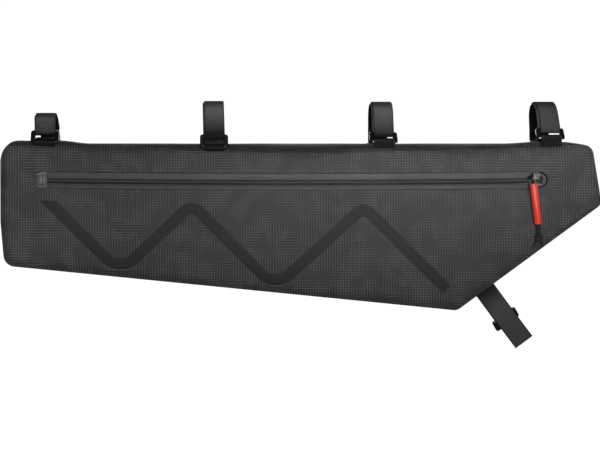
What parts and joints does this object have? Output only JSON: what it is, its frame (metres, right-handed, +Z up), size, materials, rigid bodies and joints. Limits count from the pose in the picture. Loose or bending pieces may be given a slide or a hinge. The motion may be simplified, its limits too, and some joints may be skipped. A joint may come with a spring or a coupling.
{
  "type": "bicycle frame bag",
  "caption": "Long slim frame bag for a bicycle's main triangle, with a zip along its side, strap loops over the top tube and a strap for the down tube.",
  "frame": {"origin": "on the axis of the top tube that the strap loops go round, above the middle of the bag's length", "axes": "+X along the bag towards its pointed nose, -Y out of the zipped panel, +Z up"},
  "size_m": [0.5281, 0.0707, 0.2164],
  "materials": {
    "ripstop": "dark grey coated ripstop with a fine lighter grid",
    "bonded_tape": "smooth dark bonded tape",
    "zip_tape": "matt coated water-resistant zip tape",
    "strap_cloth": "soft dark grey hook-and-loop cloth",
    "webbing": "black woven webbing",
    "black_plastic": "glossy black moulded",
    "gunmetal": "satin gunmetal",
    "cord": "black braided cord",
    "red_sleeve": "soft glossy red tube"
  },
  "bodies": {
    "root": {"main_shell": "ripstop", "zigzag_band": "bonded_tape", "zip_tape_upper": "zip_tape", "zip_tape_lower": "zip_tape", "zip_end": "black_plastic", "zip_dock": "black_plastic", "zip_slider": "gunmetal", "pull_cord": "cord", "pull_sleeve": "red_sleeve", "pull_knot": "cord", "strap_patch_1": "webbing", "strap_patch_2": "webbing", "strap_patch_3": "webbing", "strap_patch_4": "webbing", "ring_tab_1": "webbing", "ring_tab_2": "webbing", "ring_tab_3": "webbing", "ring_tab_4": "webbing", "ring_1": "black_plastic", "ring_2": "black_plastic", "ring_3": "black_plastic", "ring_4": "black_plastic", "strap_1": "strap_cloth", "strap_2": "strap_cloth", "strap_3": "strap_cloth", "strap_4": "strap_cloth", "down_patch": "webbing", "down_strap": "strap_cloth", "down_tab": "webbing", "down_ring": "black_plastic"}
  },
  "joints": []
}
